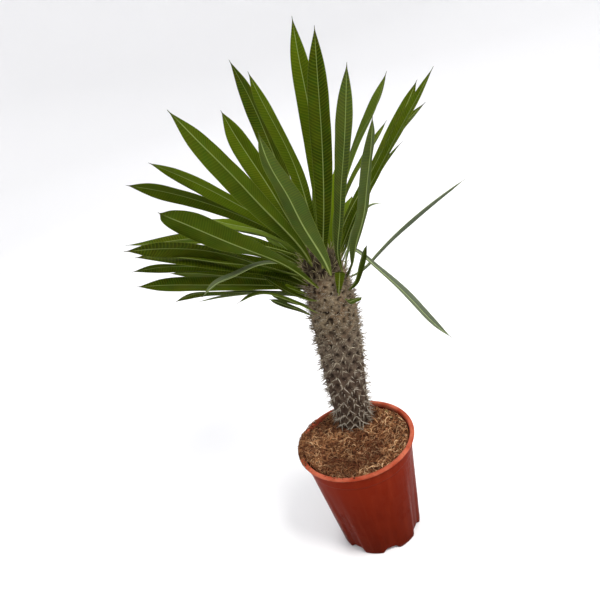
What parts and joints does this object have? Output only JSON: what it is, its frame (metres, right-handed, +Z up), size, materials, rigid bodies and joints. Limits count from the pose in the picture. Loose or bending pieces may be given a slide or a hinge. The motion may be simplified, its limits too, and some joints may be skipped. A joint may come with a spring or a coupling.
{
  "type": "potted madagascar palm",
  "caption": "Madagascar palm with a thick spiny stem and a crown of long strap leaves, rooted in coir soil in a round plastic nursery pot.",
  "frame": {"origin": "centre of the pot's underside, on the surface that the pot stands on", "axes": "+Z up along the pot's axis; +X to the right of the pot seen from its front, which faces -Y; the stem stands towards +Y"},
  "size_m": [0.481, 0.4541, 0.7193],
  "materials": {
    "pot": "satin",
    "soil": "matte",
    "trunk": "matte",
    "leaf": "satin"
  },
  "bodies": {
    "root": {"pot": "pot", "soil": "soil", "trunk": "trunk", "leaf_01": "leaf", "leaf_02": "leaf", "leaf_03": "leaf", "leaf_04": "leaf", "leaf_05": "leaf", "leaf_06": "leaf", "leaf_07": "leaf", "leaf_08": "leaf", "leaf_09": "leaf", "leaf_10": "leaf", "leaf_11": "leaf", "leaf_12": "leaf", "leaf_13": "leaf", "leaf_14": "leaf", "leaf_15": "leaf", "leaf_16": "leaf", "leaf_17": "leaf", "leaf_18": "leaf", "leaf_19": "leaf", "leaf_20": "leaf", "leaf_21": "leaf", "leaf_22": "leaf", "leaf_23": "leaf", "leaf_24": "leaf", "leaf_25": "leaf", "leaf_26": "leaf", "leaf_27": "leaf", "leaf_28": "leaf", "leaf_29": "leaf", "leaf_30": "leaf", "leaf_31": "leaf", "leaf_32": "leaf", "leaf_33": "leaf", "leaf_34": "leaf", "leaf_35": "leaf", "leaf_36": "leaf", "leaf_37": "leaf", "leaf_38": "leaf", "leaf_39": "leaf", "leaf_40": "leaf", "leaf_41": "leaf", "leaf_42": "leaf", "leaf_43": "leaf", "leaf_44": "leaf", "leaf_45": "leaf", "leaf_46": "leaf", "leaf_47": "leaf", "leaf_48": "leaf", "leaf_49": "leaf", "leaf_50": "leaf"}
  },
  "joints": []
}
